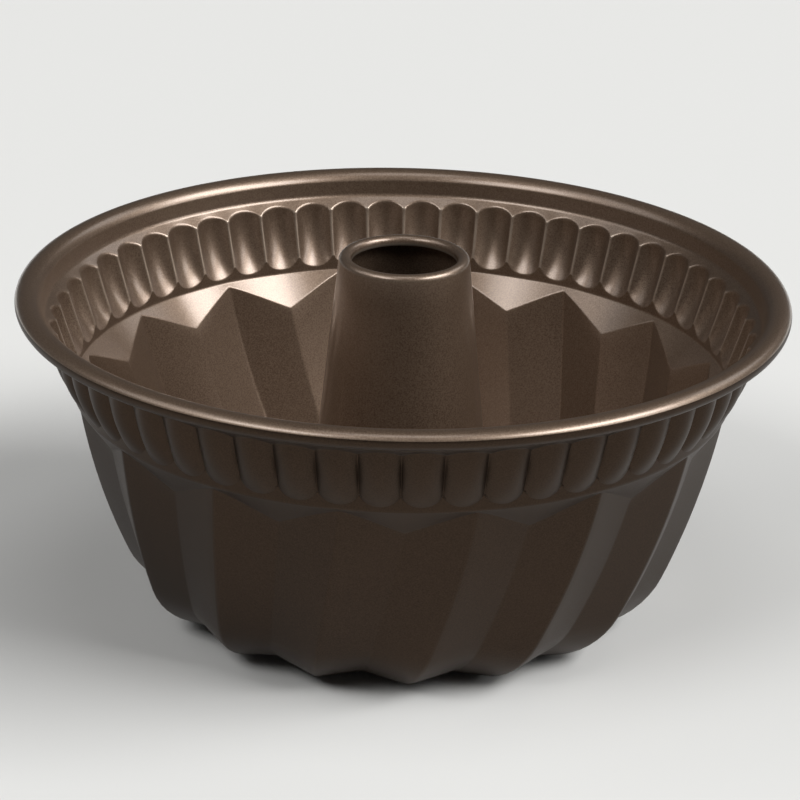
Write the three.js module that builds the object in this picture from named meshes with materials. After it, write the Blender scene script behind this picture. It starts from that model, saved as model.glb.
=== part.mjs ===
import * as THREE from 'three';

// Fluted ring cake tin: a deep-drawn sheet-steel shell with a curled rim, a scalloped band and
// twisted flutes, and a conical centre tube that is locked into a hole in the shell's base.
// Millimetres and degrees, +Z up. The origin is the middle of the base, on the surface it stands on.

// rim
const rimDiameter = 230;
const shellHeight = 100;
const shellSheet = 0.6;
const beadWidth = 7;
const beadHeight = 5.6;
const curlSweep = 315;

// neck under the rim: a steep wall, then a sloped ledge that the scallops cut into
const wallInset = 2.6;
const wallDrop = 4.6;
const ledgeMargin = 0.7;
const ledgeDrop = 3.4;

// scalloped band, with a plain strip under it
const scallopCount = 54;
const scallopTurn = 3.6;
const scallopLength = 12.8;
const scallopDraft = 18;
const scallopDepth = 2.2;
const scallopArchBlend = 1.4;
const scallopEndLength = 4.6;
const scallopEndTurn = 50;
const cuspEndLength = 1.15;
const bandMargin = 1.4;
const bandDraft = 3;

// fluted wall
const fluteCount = 16;
const fluteTurn = 12.9;
const shoulderStep = 1.1;
const shoulderDrop = 0.9;
const valleyDrop = 8.4;
const wallDraft = 9.7;
const wallBowRadius = 246;
const cornerRadius = 27;
const fluteDepth = 4.3;
const fluteFootDepth = 3.2;
const fluteTwist = 12.5;
const twistEvenShare = 0.44;
const runOutTwist = 3;

// base: a flat ring to stand on, and a raised seat around the tube
const leastRunOut = 3;
const restWidth = 7;
const seatRamp = 2.5;
const seatMargin = 1.5;
const seatRise = 2.4;

// centre tube and its lock seam
const tubeTopDiameter = 39;
const tubeFootDiameter = 60;
const tubeRise = 10;
const tubeSheet = 0.5;
const lipRadius = 1.9;
const lipFlange = 2.4;
const neckInset = 1.8;
const flangeWidth = 4;
const seamClearance = 0.3;

// dark bronze non-stick coating
const shellColour = 0x5a4a3e;
const tubeColour = 0x5f4e42;
const coatingRoughness = 0.42;
const coatingMetalness = 0.65;

// sides of each round ring and steps along each arc
const rimSides = 72;
const scallopSides = 4;
const shoulderSides = 6;
const roundSides = 48;
const curlSteps = 7;
const wallSteps = 4;
const cornerSteps = 5;
const lipSteps = 6;
const cornerTries = 8;

const { degToRad, euclideanModulo } = THREE.MathUtils;
const fullTurn = Math.PI * 2;
const slopeOf = (degrees) => Math.tan(degToRad(degrees));

// places that pieces share, each worked out from the one before it, from the rim inwards
const rimRadius = rimDiameter / 2;
const beadZ = shellHeight - beadHeight / 2;
const ledgeRadius = rimRadius - beadWidth - wallInset;
const ledgeZ = beadZ - wallDrop;
const ledgeWidth = scallopDepth + ledgeMargin;
const cuspRadius = ledgeRadius - ledgeWidth;
const cuspTopZ = ledgeZ - ledgeDrop;
const cuspEndZ = cuspTopZ - scallopLength;
const bandHeight = scallopEndLength + bandMargin;
const bandRadius = cuspRadius - scallopLength * slopeOf(scallopDraft);
const shoulderRadius = bandRadius - bandHeight * slopeOf(bandDraft);
const shoulderZ = cuspEndZ - bandHeight;
const ridgeRadius = shoulderRadius - shoulderStep;
const ridgeZ = shoulderZ - shoulderDrop;

// the seam, from the tube outwards: the neck goes through the hole and the flange lies under the seat
const baseZ = shellSheet;
const seatTopZ = seatRise + shellSheet;
const neckRadius = tubeFootDiameter / 2 - neckInset;
const flangeRadius = neckRadius + flangeWidth;
const holeRadius = neckRadius + seamClearance;
const seatRadius = flangeRadius + seatMargin;
const restInnerRadius = seatRadius + seatRamp;
const restOuterRadius = restInnerRadius + restWidth;

// ridge profile of the fluted wall: a long bowed arc, then the arc of the lower corner, down to the base
function ridgeProfile() {
  const draft = degToRad(wallDraft);
  const drop = ridgeZ - baseZ;
  const tangentAt = (corner) => {
    const fall = drop - corner + wallBowRadius * Math.sin(draft);
    return Math.asin(fall / (wallBowRadius - corner));
  };
  const wallEnd = (corner) => {
    const tangent = tangentAt(corner);
    return {
      radius: ridgeRadius - wallBowRadius * (Math.cos(draft) - Math.cos(tangent)),
      z: ridgeZ - wallBowRadius * (Math.sin(tangent) - Math.sin(draft)),
    };
  };
  // the corner's fillet is limited by the room that the base leaves it
  let corner = cornerRadius;
  for (let i = 0; i < cornerTries; i += 1) {
    const footRadius = wallEnd(corner).radius - corner * Math.cos(tangentAt(corner));
    corner -= Math.max(restOuterRadius + leastRunOut - footRadius, 0);
  }
  const tangent = tangentAt(corner);
  const wall = { radius: wallBowRadius, start: draft, from: { radius: ridgeRadius, z: ridgeZ } };
  const turn = { radius: corner, start: tangent, from: wallEnd(corner) };
  const wallLength = wallBowRadius * (tangent - draft);
  const length = wallLength + corner * (Math.PI / 2 - tangent);
  const at = (distance) => {
    const arc = distance <= wallLength ? wall : turn;
    const along = distance <= wallLength ? distance : distance - wallLength;
    const angle = arc.start + along / arc.radius;
    return {
      radius: arc.from.radius - arc.radius * (Math.cos(arc.start) - Math.cos(angle)),
      z: arc.from.z - arc.radius * (Math.sin(angle) - Math.sin(arc.start)),
      angle,
    };
  };
  return { at, length, wallLength };
}

// a ring of points around the axis: place(index) gives a radius, a height and an added turn
function ring(count, place) {
  return Array.from({ length: count }, (_, i) => {
    const { radius, z, angle = 0 } = place(i);
    return { radius, z, angle: (i / count) * fullTurn + angle };
  });
}

const circle = (count, radius, z, angle = 0) => ring(count, () => ({ radius, z, angle }));

// curled bead: an ellipse from the tucked-in end of the curl, round the outside and over to the inner foot
function beadRings() {
  const sweep = degToRad(curlSweep);
  return Array.from({ length: curlSteps + 1 }, (_, i) => {
    const angle = Math.PI - sweep + (sweep * i) / curlSteps;
    const radius = rimRadius - (beadWidth / 2) * (1 - Math.cos(angle));
    return circle(rimSides, radius, beadZ + (beadHeight / 2) * Math.sin(angle));
  });
}

// scallops: channels that bulge outwards between sharp cusps, arched on the ledge and round below
function scallopRings() {
  const cuspAt = (z) => cuspRadius - (cuspTopZ - z) * slopeOf(scallopDraft);
  const bandAt = (z) => bandRadius - (cuspEndZ - z) * slopeOf(bandDraft);
  const bulge = (i) => 1 - ((2 * (i % scallopSides)) / scallopSides - 1) ** 2;
  const endLength = (i) => Math.max(scallopEndLength * Math.sqrt(bulge(i)), cuspEndLength);
  const row = (place) => ring(scallopCount * scallopSides, (i) => ({
    ...place(i),
    angle: degToRad(scallopTurn),
  }));
  const arch = row((i) => {
    const depth = scallopDepth * bulge(i);
    return { radius: cuspRadius + depth, z: cuspTopZ + (depth * ledgeDrop) / ledgeWidth };
  });
  const channel = (z) => row((i) => ({ radius: cuspAt(z) + scallopDepth * bulge(i), z }));
  const roundEnd = (degrees) => row((i) => {
    const angle = degToRad(degrees);
    const z = cuspEndZ - endLength(i) * Math.sin(angle);
    return { radius: bandAt(z) + scallopDepth * bulge(i) * Math.cos(angle), z };
  });
  return [
    arch,
    channel(cuspTopZ - scallopArchBlend),
    channel(cuspEndZ),
    roundEnd(scallopEndTurn),
    roundEnd(90),
  ];
}

// flutes: ridges on the profile and valleys set in from it, which turn as they go down
function fluteRings() {
  const profile = ridgeProfile();
  const depthAt = (share) => fluteDepth + (fluteFootDepth - fluteDepth) * share ** 2;
  const twistAt = (share) => fluteTwist * (twistEvenShare * share + (1 - twistEvenShare) * share ** 2);
  const pointAt = (distance, inset) => {
    const on = profile.at(distance);
    return {
      radius: on.radius - inset * Math.cos(on.angle),
      z: on.z + inset * Math.sin(on.angle),
      angle: degToRad(fluteTurn - twistAt(distance / profile.length)),
    };
  };
  const ridge = (distance) => pointAt(distance, 0);
  // a valley starts lower than a ridge, where the shoulder's facets run down to it
  const valley = (distance) => {
    const lower = valleyDrop + distance * (1 - valleyDrop / profile.length);
    return pointAt(lower, depthAt(lower / profile.length));
  };
  const cornerLength = profile.length - profile.wallLength;
  const wallStops = Array.from({ length: wallSteps }, (_, i) => (profile.wallLength * i) / wallSteps);
  const cornerStops = Array.from(
    { length: cornerSteps + 1 },
    (_, i) => profile.wallLength + (cornerLength * i) / cornerSteps,
  );
  return [...wallStops, ...cornerStops].map((distance) => (
    ring(fluteCount * 2, (i) => (i % 2 === 0 ? ridge(distance) : valley(distance)))
  ));
}

// base: the flutes run out to the flat ring, then a ramp leads up to the seat around the hole
function baseRings() {
  const runOutTurn = degToRad(fluteTurn - fluteTwist - runOutTwist);
  return [
    circle(roundSides, restOuterRadius, baseZ, runOutTurn),
    circle(roundSides, restInnerRadius, baseZ),
    circle(roundSides, seatRadius, seatTopZ),
    circle(roundSides, holeRadius, seatTopZ),
  ];
}

// the far side of the sheet: each ring moved by the thickness, square to the section on both sides of it
function offsetRings(rings, thickness) {
  const middle = rings.map((points) => new THREE.Vector2(
    points.reduce((sum, p) => sum + p.radius, 0) / points.length,
    points.reduce((sum, p) => sum + p.z, 0) / points.length,
  ));
  const across = middle.slice(1).map((p, i) => {
    const along = p.clone().sub(middle[i]).normalize();
    return new THREE.Vector2(-along.y, along.x);
  });
  return rings.map((points, i) => {
    const before = across[Math.max(i - 1, 0)];
    const after = across[Math.min(i, across.length - 1)];
    const shift = before.clone().add(after).multiplyScalar(thickness / (1 + before.dot(after)));
    return points.map((p) => ({ radius: p.radius + shift.x, z: p.z + shift.y, angle: p.angle }));
  });
}

// triangles between two rings, which may have different counts, walked round by angle
function bandFaces(first, second) {
  const sizeA = first.points.length;
  const sizeB = second.points.length;
  const origin = first.points[0].angle;
  const leadOf = (p) => euclideanModulo(p.angle - origin + Math.PI, fullTurn) - Math.PI;
  const leads = second.points.map((p) => Math.abs(leadOf(p)));
  const shift = leads.indexOf(Math.min(...leads));
  const start = second.points[shift];
  const angleA = (i) => (i === sizeA ? fullTurn : euclideanModulo(first.points[i].angle - origin, fullTurn));
  const angleB = (j) => {
    const point = second.points[(j + shift) % sizeB];
    return leadOf(start) + (j === sizeB ? fullTurn : euclideanModulo(point.angle - start.angle, fullTurn));
  };
  const faces = [];
  let i = 0;
  let j = 0;
  while (i < sizeA || j < sizeB) {
    const a = first.start + (i % sizeA);
    const b = second.start + ((j + shift) % sizeB);
    const stepA = j === sizeB || (i < sizeA && angleA(i) + angleA(i + 1) <= angleB(j) + angleB(j + 1));
    if (stepA) {
      i += 1;
      faces.push(a, first.start + (i % sizeA), b);
    } else {
      j += 1;
      faces.push(a, second.start + ((j + shift) % sizeB), b);
    }
  }
  return faces;
}

// one closed sheet: the near side, the far side and the two edges between them
function sheetGeometry(rings, thickness) {
  const positions = [];
  const loop = [...rings, ...offsetRings(rings, thickness).reverse()].map((points) => {
    const start = positions.length / 3;
    points.forEach((p) => {
      positions.push(p.radius * Math.cos(p.angle), p.radius * Math.sin(p.angle), p.z);
    });
    return { points, start };
  });
  const geometry = new THREE.BufferGeometry();
  geometry.setAttribute('position', new THREE.Float32BufferAttribute(positions, 3));
  geometry.setIndex(loop.flatMap((band, i) => bandFaces(band, loop[(i + 1) % loop.length])));
  geometry.computeVertexNormals();
  return geometry;
}

function shellGeometry() {
  const ledge = circle(rimSides, ledgeRadius, ledgeZ);
  const shoulder = circle(fluteCount * shoulderSides, shoulderRadius, shoulderZ);
  const rings = [...beadRings(), ledge, ...scallopRings(), shoulder, ...fluteRings(), ...baseRings()];
  return sheetGeometry(rings, shellSheet);
}

// tube: from the flange under the seat, in to the neck, up the cone, over the round lip and down inside
function tubeGeometry() {
  const lipCentre = tubeTopDiameter / 2 - lipRadius;
  const lipZ = shellHeight + tubeRise - lipRadius;
  const footZ = seatTopZ + seamClearance;
  const flangeZ = seatRise - seamClearance;
  const lip = Array.from({ length: lipSteps + 1 }, (_, i) => {
    const angle = (Math.PI * i) / lipSteps;
    return [lipCentre + lipRadius * Math.cos(angle), lipZ + lipRadius * Math.sin(angle)];
  });
  const section = [
    [flangeRadius, flangeZ],
    [neckRadius, flangeZ],
    [neckRadius, footZ],
    [tubeFootDiameter / 2, footZ],
    ...lip,
    [lipCentre - lipRadius, lipZ - lipFlange],
  ];
  return sheetGeometry(section.map(([radius, z]) => circle(roundSides, radius, z)), tubeSheet);
}

function piece(name, geometry, color) {
  const coating = new THREE.MeshStandardMaterial({
    color,
    roughness: coatingRoughness,
    metalness: coatingMetalness,
  });
  const mesh = new THREE.Mesh(geometry, coating);
  mesh.name = name;
  return mesh;
}

const tin = new THREE.Group();
tin.add(piece('fluted_shell', shellGeometry(), shellColour));
tin.add(piece('centre_tube', tubeGeometry(), tubeColour));

export default tin;
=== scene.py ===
import math

import bmesh
import bpy
from mathutils import Matrix, Vector


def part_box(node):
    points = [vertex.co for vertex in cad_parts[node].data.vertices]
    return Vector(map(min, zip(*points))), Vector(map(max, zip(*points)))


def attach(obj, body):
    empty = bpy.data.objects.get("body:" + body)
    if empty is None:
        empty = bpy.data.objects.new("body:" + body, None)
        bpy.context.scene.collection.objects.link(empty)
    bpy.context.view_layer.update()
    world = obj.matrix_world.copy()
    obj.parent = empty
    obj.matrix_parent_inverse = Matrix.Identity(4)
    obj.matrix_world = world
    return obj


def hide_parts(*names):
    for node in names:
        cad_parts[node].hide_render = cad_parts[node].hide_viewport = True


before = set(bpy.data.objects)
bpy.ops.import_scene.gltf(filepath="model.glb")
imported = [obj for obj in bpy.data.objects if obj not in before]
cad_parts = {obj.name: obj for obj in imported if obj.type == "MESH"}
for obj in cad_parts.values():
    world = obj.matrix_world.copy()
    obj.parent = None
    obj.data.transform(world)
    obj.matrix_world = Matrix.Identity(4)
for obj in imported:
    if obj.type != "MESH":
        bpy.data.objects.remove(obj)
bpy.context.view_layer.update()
mm = 0.001
widestBevel = 1.0 * mm  # bevel weights are shares of this
creaseSegments = 2
shellLow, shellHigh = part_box("fluted_shell")
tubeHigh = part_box("centre_tube")[1]
print("frame loaded:", sorted(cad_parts))


# modelling by rows: an open ring of points is extruded, and its columns are moved to their new places

def editMesh():
    mesh = bmesh.from_edit_mesh(bpy.context.object.data)
    mesh.verts.index_update()
    mesh.verts.ensure_lookup_table()
    return mesh


def pickVerts(indices):
    bpy.ops.mesh.select_all(action="DESELECT")
    mesh = editMesh()
    for index in indices:
        mesh.verts[index].select_set(True)
    mesh.select_flush(True)
    bmesh.update_edit_mesh(bpy.context.object.data)


def movePoints(old, new):  # a point is (radius, height, turn); the turn goes the way the axes do
    bpy.ops.transform.translate(value=(0, 0, new[1] - old[1]))
    grow = new[0] / old[0]
    bpy.ops.transform.resize(value=(grow, grow, 1), center_override=(0, 0, 0))
    if new[2] != old[2]:  # with no window, rotate turns the other way
        bpy.ops.transform.rotate(value=old[2] - new[2], orient_axis="Z", center_override=(0, 0, 0))


def startRow(name, units, columns, point):
    bpy.ops.object.select_all(action="DESELECT")
    bpy.ops.mesh.primitive_circle_add(vertices=units * columns, radius=point[0], location=(0, 0, point[1]))
    made = bpy.context.object
    made.name = name
    for coating in coatings:
        made.data.materials.append(coating)
    bpy.ops.object.transform_apply(location=True, rotation=False, scale=False)
    bpy.ops.object.mode_set(mode="EDIT")
    bpy.ops.mesh.select_all(action="SELECT")
    levels = [[] for _ in range(columns // 2 + 1)]
    for vert in editMesh().verts:  # columns at the same distance from a unit's edge make a level
        place = round(math.atan2(vert.co.y, vert.co.x) / math.tau * units * columns) % columns
        levels[min(place, columns - place)].append(vert.index)
    movePoints((point[0], point[1], 0), point)
    return {"levels": levels, "points": [point] * len(levels)}


def addRow(row, points):
    bpy.ops.mesh.extrude_region_move(TRANSFORM_OT_translate={"value": (0, 0, 0)})
    mesh = editMesh()
    fresh = [
        [next(e.other_vert(v).index for e in v.link_edges if e.other_vert(v).select) for v in verts]
        for verts in ([mesh.verts[index] for index in level] for level in row["levels"])
    ]
    if len(set(points)) == 1 and len(set(row["points"])) == 1:
        movePoints(row["points"][0], points[0])
    else:
        for level, old, new in zip(fresh, row["points"], points):
            pickVerts(level)
            movePoints(old, new)
        pickVerts([index for level in fresh for index in level])
    return {"levels": fresh, "points": list(points)}


def addRound(row, radius, height, turn=0.0):
    return addRow(row, [(radius, height, turn)] * len(row["levels"]))


def weighEdges(edges, width):  # the bevel that these edges get later
    bpy.ops.mesh.select_all(action="DESELECT")
    mesh = editMesh()
    mesh.edges.ensure_lookup_table()
    wanted = set(edges)
    for edge in mesh.edges:
        if frozenset((edge.verts[0].index, edge.verts[1].index)) in wanted:
            edge.select_set(True)
    bmesh.update_edit_mesh(bpy.context.object.data)
    bpy.ops.transform.edge_bevelweight(value=width / widestBevel)
    bpy.ops.mesh.select_all(action="DESELECT")


def rowEdges(row):  # the edges along a row
    inRow = {index for level in row["levels"] for index in level}
    return [
        frozenset((e.verts[0].index, e.verts[1].index))
        for e in editMesh().edges
        if e.verts[0].index in inRow and e.verts[1].index in inRow
    ]


def columnEdges(rows, level):  # the edges down one level of columns
    return [
        frozenset(pair)
        for upper, lower in zip(rows, rows[1:])
        for pair in zip(upper["levels"][level], lower["levels"][level])
    ]


def turnWalls(outwards):  # a face halfway up shows which way the walls look
    bpy.ops.mesh.select_all(action="SELECT")
    bpy.ops.mesh.normals_make_consistent(inside=False)
    wall = min(editMesh().faces, key=lambda f: abs(f.calc_center_median().z - shellHigh.z / 2))
    centre = wall.calc_center_median()
    looksOut = wall.normal.dot(Vector((centre.x, centre.y, 0))) > 0
    if looksOut != outwards:
        bpy.ops.mesh.flip_normals()


# materials

def linear(hexColour):
    parts = [int(hexColour[i:i + 2], 16) / 255 for i in (1, 3, 5)]
    return tuple(c / 12.92 if c <= 0.04045 else ((c + 0.055) / 1.055) ** 2.4 for c in parts) + (1.0,)


def addNode(tree, kind, links=None, **settings):
    node = tree.nodes.new(kind)
    for name, value in settings.items():
        setattr(node, name, value)
    for socket, source in (links or {}).items():
        if hasattr(source, "is_linked"):
            tree.links.new(source, node.inputs[socket])
        else:
            node.inputs[socket].default_value = source
    return node


coatingGrain = {  # both coatings have it; the ranges are those of the noise that count
    "fleck": 0.45 * mm,  # real flakes are near 0.05 mm, and are drawn coarser so that they show
    "fleckRange": (0.32, 0.68),
    "cloud": 45 * mm,
    "cloudRange": (0.35, 0.65),
    "patches": 0.25,
    "roughnessRange": (0.3, 0.7),
    "bump": 0.06,
    "bumpHeight": 0.2 * mm,
}


# baked-on lacquer with metal flake: a satin brown that glitters finely in the light
def bakedCoating(name, look, grain):
    material = bpy.data.materials.new(name)
    material.use_nodes = True
    tree = material.node_tree
    tree.nodes.clear()
    place = addNode(tree, "ShaderNodeTexCoord").outputs["Object"]
    fleck = addNode(tree, "ShaderNodeTexNoise", {
        "Vector": place,
        "Scale": 1 / grain["fleck"],
        "Detail": 2.0,
    }).outputs["Fac"]
    cloud = addNode(tree, "ShaderNodeTexNoise", {
        "Vector": place,
        "Scale": 1 / grain["cloud"],
        "Detail": 3.0,
    }).outputs["Fac"]
    flakes = addNode(tree, "ShaderNodeValToRGB", {"Fac": fleck})
    for stop, position, shade in zip(flakes.color_ramp.elements, grain["fleckRange"], ("dark", "light")):
        stop.position = position
        stop.color = linear(look[shade])
    thin = addNode(tree, "ShaderNodeMapRange", {  # the coat bakes thinner in broad patches
        "Value": cloud,
        "From Min": grain["cloudRange"][0],
        "From Max": grain["cloudRange"][1],
        "To Min": 0.0,
        "To Max": grain["patches"],
    }).outputs["Result"]
    colour = addNode(tree, "ShaderNodeMixRGB", {
        "Fac": thin,
        "Color1": flakes.outputs["Color"],
        "Color2": linear(look["light"]),
    }).outputs["Color"]
    edge = addNode(tree, "ShaderNodeAttribute", attribute_name="edge").outputs["Fac"]
    edgeHighlight = addNode(tree, "ShaderNodeMapRange", {  # painted highlight: the colour is lighter along sharp outer edges, where rounded edges catch the light
        "Value": edge,
        "From Min": look["edges"][0],
        "From Max": look["edges"][1],
        "To Min": 0.0,
        "To Max": look["edgeHighlightShare"],
    }).outputs["Result"]
    colour = addNode(tree, "ShaderNodeMixRGB", {
        "Fac": edgeHighlight,
        "Color1": colour,
        "Color2": linear(look["edgeHighlight"]),
    }).outputs["Color"]
    roughness = addNode(tree, "ShaderNodeMapRange", {
        "Value": fleck,
        "From Min": grain["roughnessRange"][0],
        "From Max": grain["roughnessRange"][1],
        "To Min": look["roughness"][0],
        "To Max": look["roughness"][1],
    }).outputs["Result"]
    bump = addNode(tree, "ShaderNodeBump", {
        "Height": fleck,
        "Strength": grain["bump"],
        "Distance": grain["bumpHeight"],
    }).outputs["Normal"]
    shader = addNode(tree, "ShaderNodeBsdfPrincipled", {
        "Base Color": colour,
        "Metallic": look["metallic"],
        "Roughness": roughness,
        "Coat Weight": look["coat"],
        "Coat Roughness": look["coatRoughness"],
        "Normal": bump,
    })
    addNode(tree, "ShaderNodeOutputMaterial", {"Surface": shader.outputs["BSDF"]})
    return material


insideLook = {  # bronze non-stick coat of the baking side: soft broad highlights under a clear top coat
    "dark": "#634f40",
    "light": "#806c5a",
    "metallic": 0.7,
    "roughness": (0.36, 0.42),
    "coat": 1.0,
    "coatRoughness": 0.24,
    # the edge range and colour paint a highlight along sharp outer edges
    "edges": (0.515, 0.56),
    "edgeHighlight": "#c2b2a1",
    "edgeHighlightShare": 0.6,
}
shadedOutsideLook = {  # painted shade: a darker brown, duller copy of the bronze coating, with no clear coat, for the oven side, which lies in shade and mirrors the shade under the tin
    "dark": "#322820",
    "light": "#41342a",
    "metallic": 0.95,
    "roughness": (0.4, 0.47),
    "coat": 0.0,
    "coatRoughness": 0.2,
    # the edge range and colour paint a highlight along sharp outer edges
    "edges": (0.524, 0.57),
    "edgeHighlight": "#85725f",
    "edgeHighlightShare": 0.5,
}
# the second coating is a darker copy of the first: painted shade for the oven side
coatings = [
    bakedCoating("bronze non-stick coating", insideLook, coatingGrain),
    bakedCoating("bronze coating darkened as painted shade", shadedOutsideLook, coatingGrain),
]
print("coatings made")


# fluted shell: the curled rim, the ledge and the scallops are one run of rows
shellSizes = {
    "beadWidth": 7.2 * mm,
    "beadHeight": 5.6 * mm,
    "curlStart": math.radians(-135),  # tucked under the outside
    "curlEnd": math.radians(120),  # where the bead starts to slope down inwards
    "curlSteps": 20,
    "slopeRadius": 108.14 * mm,  # the slope bends here
    "slopeRise": 1.78 * mm,
    "slopeSteps": 5,
    "shadeLine": math.radians(20),  # the painted shade of the darker coating reaches up round the bead's underside to here
    "flankRadius": 107.2 * mm,
    "flankDrop": 0.05 * mm,  # drops are measured from the middle of the bead
    "ledgeRadius": 106.55 * mm,
    "ledgeDrop": 4.75 * mm,
    "cuspRadius": 102.5 * mm,
    "cuspDrop": 8.0 * mm,
    "cuspEndRadius": 98.3 * mm,
    "cuspEndDrop": 20.8 * mm,
    "scallops": 54,
    "scallopColumns": 12,
    "scallopRows": 14,
    "scallopTurn": math.radians(3.6),
    "scallopDepth": 2.3 * mm,
    "scallopRound": 0.86,  # across a channel, 0.5 is an ellipse and 1 a parabola
    "scallopEnd": 4.6 * mm,
    "cuspEnd": 1.1 * mm,
    "bowRadius": 104.8 * mm,  # each channel starts upright here and turns inwards
    "bowDrop": 16.5 * mm,
    "shoulderRadius": 98.0 * mm,
    "shoulderDrop": 26.8 * mm,
    "joint": 0.5 * mm,
    "joinReach": 2.0 * mm,  # the two open ends that are bridged lie this near the shoulder
    "sheet": 0.6 * mm,
    "flankBevel": 0.3 * mm,
    "creaseBevel": 0.8 * mm,
    "archBevel": 0.55 * mm,
    "cuspBevel": 0.7 * mm,
    "endBevel": 0.3 * mm,
}
beadZ = shellHigh.z - shellSizes["beadHeight"] / 2
shoulderZ = beadZ - shellSizes["shoulderDrop"]


def mix(start, end, share):
    return start + (end - start) * share


def paintShadeBelow(radius, height):  # painted shade: the darker copy of the coating on what lies outside this radius and below this height
    bpy.ops.mesh.select_all(action="DESELECT")
    mesh = editMesh()
    for face in mesh.faces:
        centre = face.calc_center_median()
        if centre.z < height and centre.xy.length > radius:
            face.select_set(True)
    bmesh.update_edit_mesh(bpy.context.object.data)
    bpy.context.object.active_material_index = 1
    bpy.ops.object.material_slot_assign()
    bpy.ops.mesh.select_all(action="DESELECT")


def buildRim(s):
    beadCentre = shellHigh.x - s["beadWidth"] / 2
    turn = s["scallopTurn"]

    def onBead(step):
        angle = mix(s["curlStart"], s["curlEnd"], step / s["curlSteps"])
        radius = beadCentre + s["beadWidth"] / 2 * math.cos(angle)
        return radius, beadZ + s["beadHeight"] / 2 * math.sin(angle), turn

    row = startRow("fluted_tin_shell", s["scallops"], s["scallopColumns"], onBead(0))
    for step in range(1, s["curlSteps"] + 1):
        row = addRound(row, *onBead(step))
    beadEnd, flankZ = onBead(s["curlSteps"]), beadZ - s["flankDrop"]
    for step in range(1, s["slopeSteps"] + 1):
        share = step / s["slopeSteps"]
        upper = mix(beadEnd[0], s["slopeRadius"], share), mix(beadEnd[1], beadZ + s["slopeRise"], share)
        lower = mix(s["slopeRadius"], s["flankRadius"], share), mix(beadZ + s["slopeRise"], flankZ, share)
        row = addRound(row, mix(upper[0], lower[0], share), mix(upper[1], lower[1], share), turn)
    flank = row
    ledgeZ = beadZ - s["ledgeDrop"]
    ledge = addRound(flank, s["ledgeRadius"], ledgeZ, turn)

    # scallops: a side of 1 is at a cusp, and 0 is along the middle of a channel
    half = s["scallopColumns"] / 2
    sides = [1 - level / half for level in range(len(row["levels"]))]
    cuspZ = beadZ - s["cuspDrop"]
    cuspEndZ = beadZ - s["cuspEndDrop"]
    endZ = cuspEndZ - s["scallopEnd"]
    ledgeSlope = (ledgeZ - cuspZ) / (s["ledgeRadius"] - s["cuspRadius"])
    cuspSlope = (s["cuspRadius"] - s["cuspEndRadius"]) / (cuspZ - cuspEndZ)
    bandSlope = (s["cuspEndRadius"] - s["shoulderRadius"]) / (s["shoulderDrop"] - s["cuspEndDrop"])
    topZ = cuspZ + s["scallopDepth"] * ledgeSlope
    bowZ = beadZ - s["bowDrop"]

    def cuspAt(height):
        return s["cuspEndRadius"] + (height - cuspEndZ) * (cuspSlope if height > cuspEndZ else bandSlope)

    def channelAt(height):  # one smooth arc from the arch's top to the round end
        bend, fall = topZ - 2 * bowZ + endZ, topZ - bowZ
        share = (topZ - height) / (fall + math.sqrt(fall * fall - bend * (topZ - height)))
        upper = mix(s["cuspRadius"] + s["scallopDepth"], s["bowRadius"], share)
        return mix(upper, mix(s["bowRadius"], cuspAt(endZ), share), share)

    def archPoint(side):
        rise = s["scallopDepth"] * (1 - side * side) ** s["scallopRound"]
        return s["cuspRadius"] + rise, cuspZ + rise * ledgeSlope, turn

    def scallopPoint(side, share):
        bulge = 1 - side * side
        lowest = cuspEndZ - max(s["scallopEnd"] * math.sqrt(bulge), s["cuspEnd"])
        height = mix(archPoint(side)[1], lowest, share)
        past = max(cuspEndZ - height, 0) / s["scallopEnd"]
        width = 1 - past * past  # the square of the channel's half width there
        fill = max(1 - side * side / width, 0) ** s["scallopRound"] if width > 1e-6 else 0
        return mix(cuspAt(height), channelAt(height), fill), height, turn

    rows = [addRow(ledge, [archPoint(side) for side in sides])]
    for step in range(1, s["scallopRows"] + 1):
        share = step / s["scallopRows"]
        rows.append(addRow(rows[-1], [scallopPoint(side, share) for side in sides]))
    stripZ = shoulderZ + 2 * s["joint"]
    addRound(rows[-1], cuspAt(stripZ), stripZ, turn)
    # painted shade: the darker copy of the coating on the outside and up round the underside of the bead
    paintShadeBelow(beadCentre, beadZ + s["beadHeight"] / 2 * math.sin(s["shadeLine"]))
    weighEdges(rowEdges(flank), s["flankBevel"])
    weighEdges(rowEdges(ledge), s["creaseBevel"])
    weighEdges(rowEdges(rows[0]), s["archBevel"])
    weighEdges(rowEdges(rows[-1]), s["endBevel"])
    weighEdges(columnEdges(rows, 0), s["cuspBevel"])
    bpy.ops.object.mode_set(mode="OBJECT")
    return bpy.context.object


rim = buildRim(shellSizes)
print("rim and scallops:", len(rim.data.polygons), "faces")

fluteSizes = {
    "flutes": 16,
    "fluteColumns": 12,
    "fluteTurn": math.radians(12.9),
    "ridgeStep": 1.1 * mm,
    "ridgeDrop": 0.9 * mm,
    "shoulderSlope": 0.7,  # the shoulder starts flatter and gets steeper inwards
    "shoulderBow": 0.0974 / mm,
    "valleyDrop": 8.4 * mm,
    "draft": math.radians(9.7),
    "bowRadius": 246 * mm,
    "cornerRadius": 27 * mm,
    "depth": 4.3 * mm,
    "footDepth": 3.2 * mm,
    "twist": math.radians(12.5),
    "twistEvenShare": 0.44,
    "runOutTwist": math.radians(3),
    "wallRows": 14,
    "cornerRows": 10,
    "runOutRows": 5,
    "runOutFade": 1.5,
    "ridgeLift": 0.02 * mm,  # the rounded ridges reach a little lower than the base ring
    "restOuter": 43.2 * mm,
    "restInner": 36.2 * mm,
    "seatOuter": 33.7 * mm,
    "seatRise": 2.4 * mm,
    "hole": 28.5 * mm,
    "ridgeBevel": 0.6 * mm,
    "valleyBevel": 0.6 * mm,
    "shoulderBevel": 0.35 * mm,
}


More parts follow.
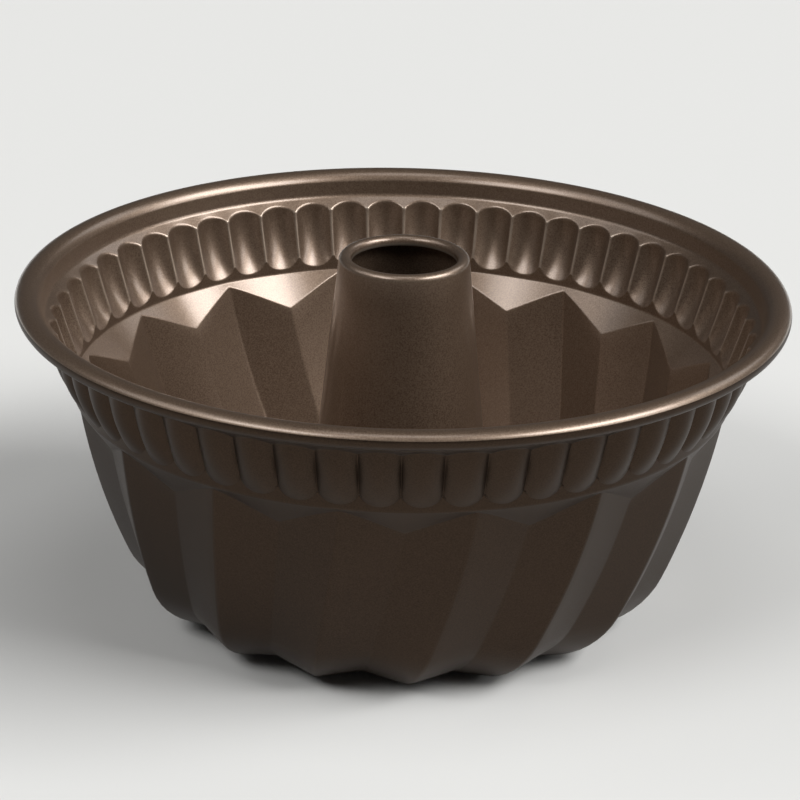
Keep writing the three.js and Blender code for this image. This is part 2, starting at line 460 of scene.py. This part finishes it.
def buildFlutes(s, shell):
    shoulderRadius = shell["shoulderRadius"]
    ridgeRadius = shoulderRadius - s["ridgeStep"]
    ridgeZ = shoulderZ - s["ridgeDrop"]
    floorZ = shellLow.z + shell["sheet"] + s["ridgeLift"]
    corner, bow, draft = s["cornerRadius"], s["bowRadius"], s["draft"]

    # ridge profile: a long bowed arc, then the arc of the lower corner
    tangent = math.asin((ridgeZ - floorZ - corner + bow * math.sin(draft)) / (bow - corner))
    wallLength = bow * (tangent - draft)
    length = wallLength + corner * (math.pi / 2 - tangent)
    wallEnd = (
        ridgeRadius - bow * (math.cos(draft) - math.cos(tangent)),
        ridgeZ - bow * (math.sin(tangent) - math.sin(draft)),
    )

    def onProfile(distance, inset):
        if distance <= wallLength:
            (radius, height), start, arc, along = (ridgeRadius, ridgeZ), draft, bow, distance
        else:
            (radius, height), start, arc, along = wallEnd, tangent, corner, distance - wallLength
        angle = start + along / arc
        share = distance / length
        twist = s["twist"] * (s["twistEvenShare"] * share + (1 - s["twistEvenShare"]) * share ** 2)
        return (
            radius - arc * (math.cos(start) - math.cos(angle)) - inset * math.cos(angle),
            height - arc * (math.sin(angle) - math.sin(start)) + inset * math.sin(angle),
            s["fluteTurn"] - twist,
        )

    def ridgePoint(distance):
        return onProfile(distance, 0)

    def valleyPoint(distance):
        lower = s["valleyDrop"] + distance * (1 - s["valleyDrop"] / length)
        share = lower / length
        return onProfile(lower, mix(s["depth"], s["footDepth"], share ** 2))

    half = s["fluteColumns"] // 2
    facet = math.pi / s["flutes"]

    def acrossFacet(ridge, valley):  # points on the straight line from the ridge to the valley
        span = facet + valley[2] - ridge[2]
        points = []
        for level in range(half + 1):
            angle = span * level / half
            reach = ridge[0] * math.sin(angle) + valley[0] * math.sin(span - angle)
            radius = ridge[0] * valley[0] * math.sin(span) / reach
            turned = mix(ridge[2], valley[2], level / half)
            points.append((radius, mix(ridge[1], valley[1], level / half), turned))
        return points

    above = (shoulderRadius, shoulderZ + shell["joint"], s["fluteTurn"])
    row = startRow("flutes", s["flutes"], s["fluteColumns"], above)
    shoulder = addRound(row, shoulderRadius, shoulderZ, s["fluteTurn"])
    star = []
    for radius, _, turn in acrossFacet(ridgePoint(0), valleyPoint(0)):
        run = shoulderRadius - radius
        star.append((radius, shoulderZ - run * (s["shoulderSlope"] + run * s["shoulderBow"]), turn))
    rows = [addRow(shoulder, star)]
    stops = [wallLength * step / s["wallRows"] for step in range(1, s["wallRows"] + 1)]
    stops += [mix(wallLength, length, step / s["cornerRows"]) for step in range(1, s["cornerRows"] + 1)]
    for stop in stops:
        rows.append(addRow(rows[-1], acrossFacet(ridgePoint(stop), valleyPoint(stop))))

    # run-out: the flutes fade into the flat ring of the base
    foot = rows[-1]["points"]
    for step in range(1, s["runOutRows"] + 1):
        share = step / s["runOutRows"]
        fade = (1 - share) ** s["runOutFade"]
        rows.append(addRow(rows[-1], [
            (mix(radius, s["restOuter"], share), mix(floorZ, height, fade), turn - s["runOutTwist"] * share)
            for radius, height, turn in foot
        ]))
    turn = rows[-1]["points"][0][2]
    rest = addRound(rows[-1], s["restInner"], floorZ, turn)
    seat = addRound(rest, s["seatOuter"], floorZ + s["seatRise"], turn)
    addRound(seat, s["hole"], floorZ + s["seatRise"], turn)
    fluted = rows[: len(stops) + 1]
    weighEdges(rowEdges(shoulder), s["shoulderBevel"])
    weighEdges(rowEdges(rows[0]), s["shoulderBevel"])
    weighEdges(columnEdges(fluted, 0), s["ridgeBevel"])
    weighEdges(columnEdges(fluted, half), s["valleyBevel"])
    weighEdges(rowEdges(rest) + rowEdges(seat), s["shoulderBevel"])
    bpy.ops.object.mode_set(mode="OBJECT")
    return bpy.context.object


flutes = buildFlutes(fluteSizes, shellSizes)
print("flutes and base:", len(flutes.data.polygons), "faces")


def bridgeShell(rim, flutes, reach):
    bpy.ops.object.select_all(action="DESELECT")
    flutes.select_set(True)
    rim.select_set(True)
    bpy.context.view_layer.objects.active = rim
    bpy.ops.object.join()
    bpy.ops.object.mode_set(mode="EDIT")
    bpy.ops.mesh.select_all(action="DESELECT")
    mesh = editMesh()
    for edge in mesh.edges:
        heights = [abs(v.co.z - shoulderZ) for v in edge.verts]
        if edge.is_boundary and max(heights) < reach:
            edge.select_set(True)
    bmesh.update_edit_mesh(rim.data)
    bpy.ops.mesh.bridge_edge_loops()
    turnWalls(outwards=False)
    bpy.ops.object.mode_set(mode="OBJECT")
    return rim


# how far each point stands out from those round it: 0.5 is flat, more is an outer edge; the coatings paint
# a highlight along outer edges with it
def markEdges(piece):
    mesh = bmesh.new()
    mesh.from_mesh(piece.data)
    stands = []
    for vert in mesh.verts:
        ways = [(edge.other_vert(vert).co - vert.co).normalized() for edge in vert.link_edges]
        lean = vert.normal.dot(sum(ways, Vector())) / len(ways)
        stands.append(math.acos(max(-1, min(1, lean))) / math.pi)
    layer = mesh.verts.layers.float.new("edge")
    for vert in mesh.verts:  # evened out with the nearest points
        near = [stands[edge.other_vert(vert).index] for edge in vert.link_edges]
        vert[layer] = (stands[vert.index] + sum(near)) / (1 + len(near))
    mesh.to_mesh(piece.data)
    mesh.free()


# rounds the creases and thickens the sheet; with a back coating of 1 its back has the next material, the
# darker copy of the coating that paints shade on the outside
def finishSheet(piece, thickness, shadedBack):
    bpy.ops.object.select_all(action="DESELECT")
    piece.select_set(True)
    bpy.context.view_layer.objects.active = piece
    bevel = piece.modifiers.new("rounded creases", "BEVEL")
    bevel.limit_method = "WEIGHT"
    bevel.width = widestBevel
    bevel.segments = creaseSegments
    bpy.ops.object.modifier_apply(modifier=bevel.name)
    sheet = piece.modifiers.new("sheet", "SOLIDIFY")
    sheet.thickness = thickness
    sheet.offset = -1
    sheet.use_even_offset = True
    sheet.material_offset = shadedBack
    sheet.material_offset_rim = shadedBack
    bpy.ops.object.modifier_apply(modifier=sheet.name)
    markEdges(piece)
    bpy.ops.object.shade_smooth()
    even = piece.modifiers.new("flat facets", "WEIGHTED_NORMAL")
    even.keep_sharp = True
    bpy.ops.object.modifier_apply(modifier=even.name)


shell = bridgeShell(rim, flutes, shellSizes["joinReach"])
finishSheet(shell, shellSizes["sheet"], shadedBack=1)
print("shell:", len(shell.data.polygons), "faces")

tubeSizes = {
    "units": 16,
    "columns": 10,
    "topRadius": 19.5 * mm,
    "footRadius": 30 * mm,
    "sheet": 0.5 * mm,
    "lipRadius": 1.9 * mm,
    "lipSteps": 14,
    "lipFlange": 0.9 * mm,
    "neckRadius": 28.2 * mm,
    "flangeRadius": 32.2 * mm,
    "seam": 0.3 * mm,
    "coneRows": 6,
    "footBevel": 0.6 * mm,
}


def buildTube(s, shell, flutes):
    seatTop = shellLow.z + flutes["seatRise"] + shell["sheet"]
    footZ = seatTop + s["seam"]
    flangeZ = shellLow.z + flutes["seatRise"] - s["seam"]
    lipCentre = s["topRadius"] - s["lipRadius"]
    lipZ = tubeHigh.z - s["lipRadius"]
    row = startRow("ring_tin_tube", s["units"], s["columns"], (s["flangeRadius"], flangeZ, 0.0))
    neck = addRound(row, s["neckRadius"], flangeZ)
    step = addRound(neck, s["neckRadius"], footZ)
    foot = addRound(step, s["footRadius"], footZ)
    row = foot
    for index in range(1, s["coneRows"] + 1):
        share = index / s["coneRows"]
        row = addRound(row, mix(s["footRadius"], s["topRadius"], share), mix(footZ, lipZ, share))
    for index in range(1, s["lipSteps"] + 1):
        angle = math.pi * index / s["lipSteps"]
        radius = lipCentre + s["lipRadius"] * math.cos(angle)
        row = addRound(row, radius, lipZ + s["lipRadius"] * math.sin(angle))
    addRound(row, lipCentre - s["lipRadius"], lipZ - s["lipFlange"])
    paintShadeBelow(0, seatTop)  # the neck and the flange are on the oven side and get the darker copy of the coating, painted shade
    weighEdges(rowEdges(neck) + rowEdges(step) + rowEdges(foot), s["footBevel"])
    turnWalls(outwards=True)
    bpy.ops.object.mode_set(mode="OBJECT")
    tube = bpy.context.object
    finishSheet(tube, s["sheet"], shadedBack=0)
    return tube


tube = buildTube(tubeSizes, shellSizes, fluteSizes)
print("tube:", len(tube.data.polygons), "faces")


for piece, node, slot in ((shell, "fluted_shell", "shell_coating"), (tube, "centre_tube", "tube_coating")):
    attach(piece, "root")
    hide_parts(node)
print("pieces placed")

# studio: a pale floor, soft boxes and a dim room
studio = {
    "floorSize": 24.0,
    "floorColour": "#dadad8",
    "floorRoughness": 0.9,
    "roomLight": 0.05,
    "lampDistance": 21.6,  # far away, so that the floor is lit evenly
    "lampAim": 70 * mm,
}


def buildStudio(s):
    bpy.ops.object.select_all(action="DESELECT")
    bpy.ops.mesh.primitive_plane_add(size=s["floorSize"])
    floor = bpy.context.object
    floor.name = "floor"
    material = bpy.data.materials.new("matt studio paper")
    material.use_nodes = True
    tree = material.node_tree
    tree.nodes.clear()
    shader = addNode(tree, "ShaderNodeBsdfPrincipled", {
        "Base Color": linear(s["floorColour"]),
        "Roughness": s["floorRoughness"],
        "Specular IOR Level": 0.0,
    })
    addNode(tree, "ShaderNodeOutputMaterial", {"Surface": shader.outputs["BSDF"]})
    floor.data.materials.append(material)

    world = bpy.data.worlds.new("dim room")
    bpy.context.scene.world = world
    world.use_nodes = True
    tree = world.node_tree
    tree.nodes.clear()
    background = addNode(tree, "ShaderNodeBackground", {"Color": (1, 1, 1, 1), "Strength": s["roomLight"]})
    addNode(tree, "ShaderNodeOutputWorld", {"Surface": background.outputs["Background"]})


# side and height are angles in degrees, seen from the tin, and a brightness of 1 mirrors as white
def softBox(name, side, height, size, brightness):
    data = bpy.data.lights.new(name, "AREA")
    data.shape = "RECTANGLE"
    data.size, data.size_y = size
    data.energy = brightness * math.pi * size[0] * size[1]
    lamp = bpy.data.objects.new(name, data)
    bpy.context.scene.collection.objects.link(lamp)
    side, height = math.radians(side), math.radians(height)
    target = Vector((0, 0, studio["lampAim"]))
    away = Vector((math.cos(height) * math.cos(side), math.cos(height) * math.sin(side), math.sin(height)))
    lamp.location = target + away * studio["lampDistance"]
    lamp.rotation_euler = (-away).to_track_quat("-Z", "Y").to_euler()


buildStudio(studio)
softBox("right soft box", -20, 45, (16.2, 7.2), 12.2)
softBox("left soft box", 225, 47, (10.8, 7.2), 6.4)
softBox("left fill", 182, 46, (10.8, 13.5), 1.3)
softBox("right fill", 38, 36, (9.9, 6.3), 1.6)
softBox("low right fill", -15, 24, (12.0, 4.5), 3.8)
softBox("top soft box", 270, 80, (8.1, 8.1), 2.2)

# camera: fitted to the rim, the tube's lip and the outline
camera = {
    "distance": 1027.5 * mm,  # to the middle of the rim
    "elevation": math.radians(20.317),
    "aim": (-0.39 * mm, 0.0, 63.5 * mm),
    "roll": math.radians(1.233),
    "lens": 155.51,
    "sensor": 36.0,
}


def buildCamera(c):
    data = bpy.data.cameras.new("camera")
    data.lens = c["lens"]
    data.sensor_width = c["sensor"]
    taker = bpy.data.objects.new("camera", data)
    bpy.context.scene.collection.objects.link(taker)
    back = c["distance"] * math.cos(c["elevation"])
    place = Vector((0, -back, beadZ + c["distance"] * math.sin(c["elevation"])))
    look = (Vector(c["aim"]) - place).normalized()
    right = look.cross(Vector((0, 0, 1))).normalized()
    up = right.cross(look)
    tilted = right * math.cos(c["roll"]) + up * math.sin(c["roll"])
    upright = up * math.cos(c["roll"]) - right * math.sin(c["roll"])
    taker.matrix_world = Matrix.Translation(place) @ Matrix((tilted, upright, -look)).transposed().to_4x4()
    bpy.context.scene.camera = taker


buildCamera(camera)
bpy.context.scene.view_settings.view_transform = "Standard"
print("studio and camera set")
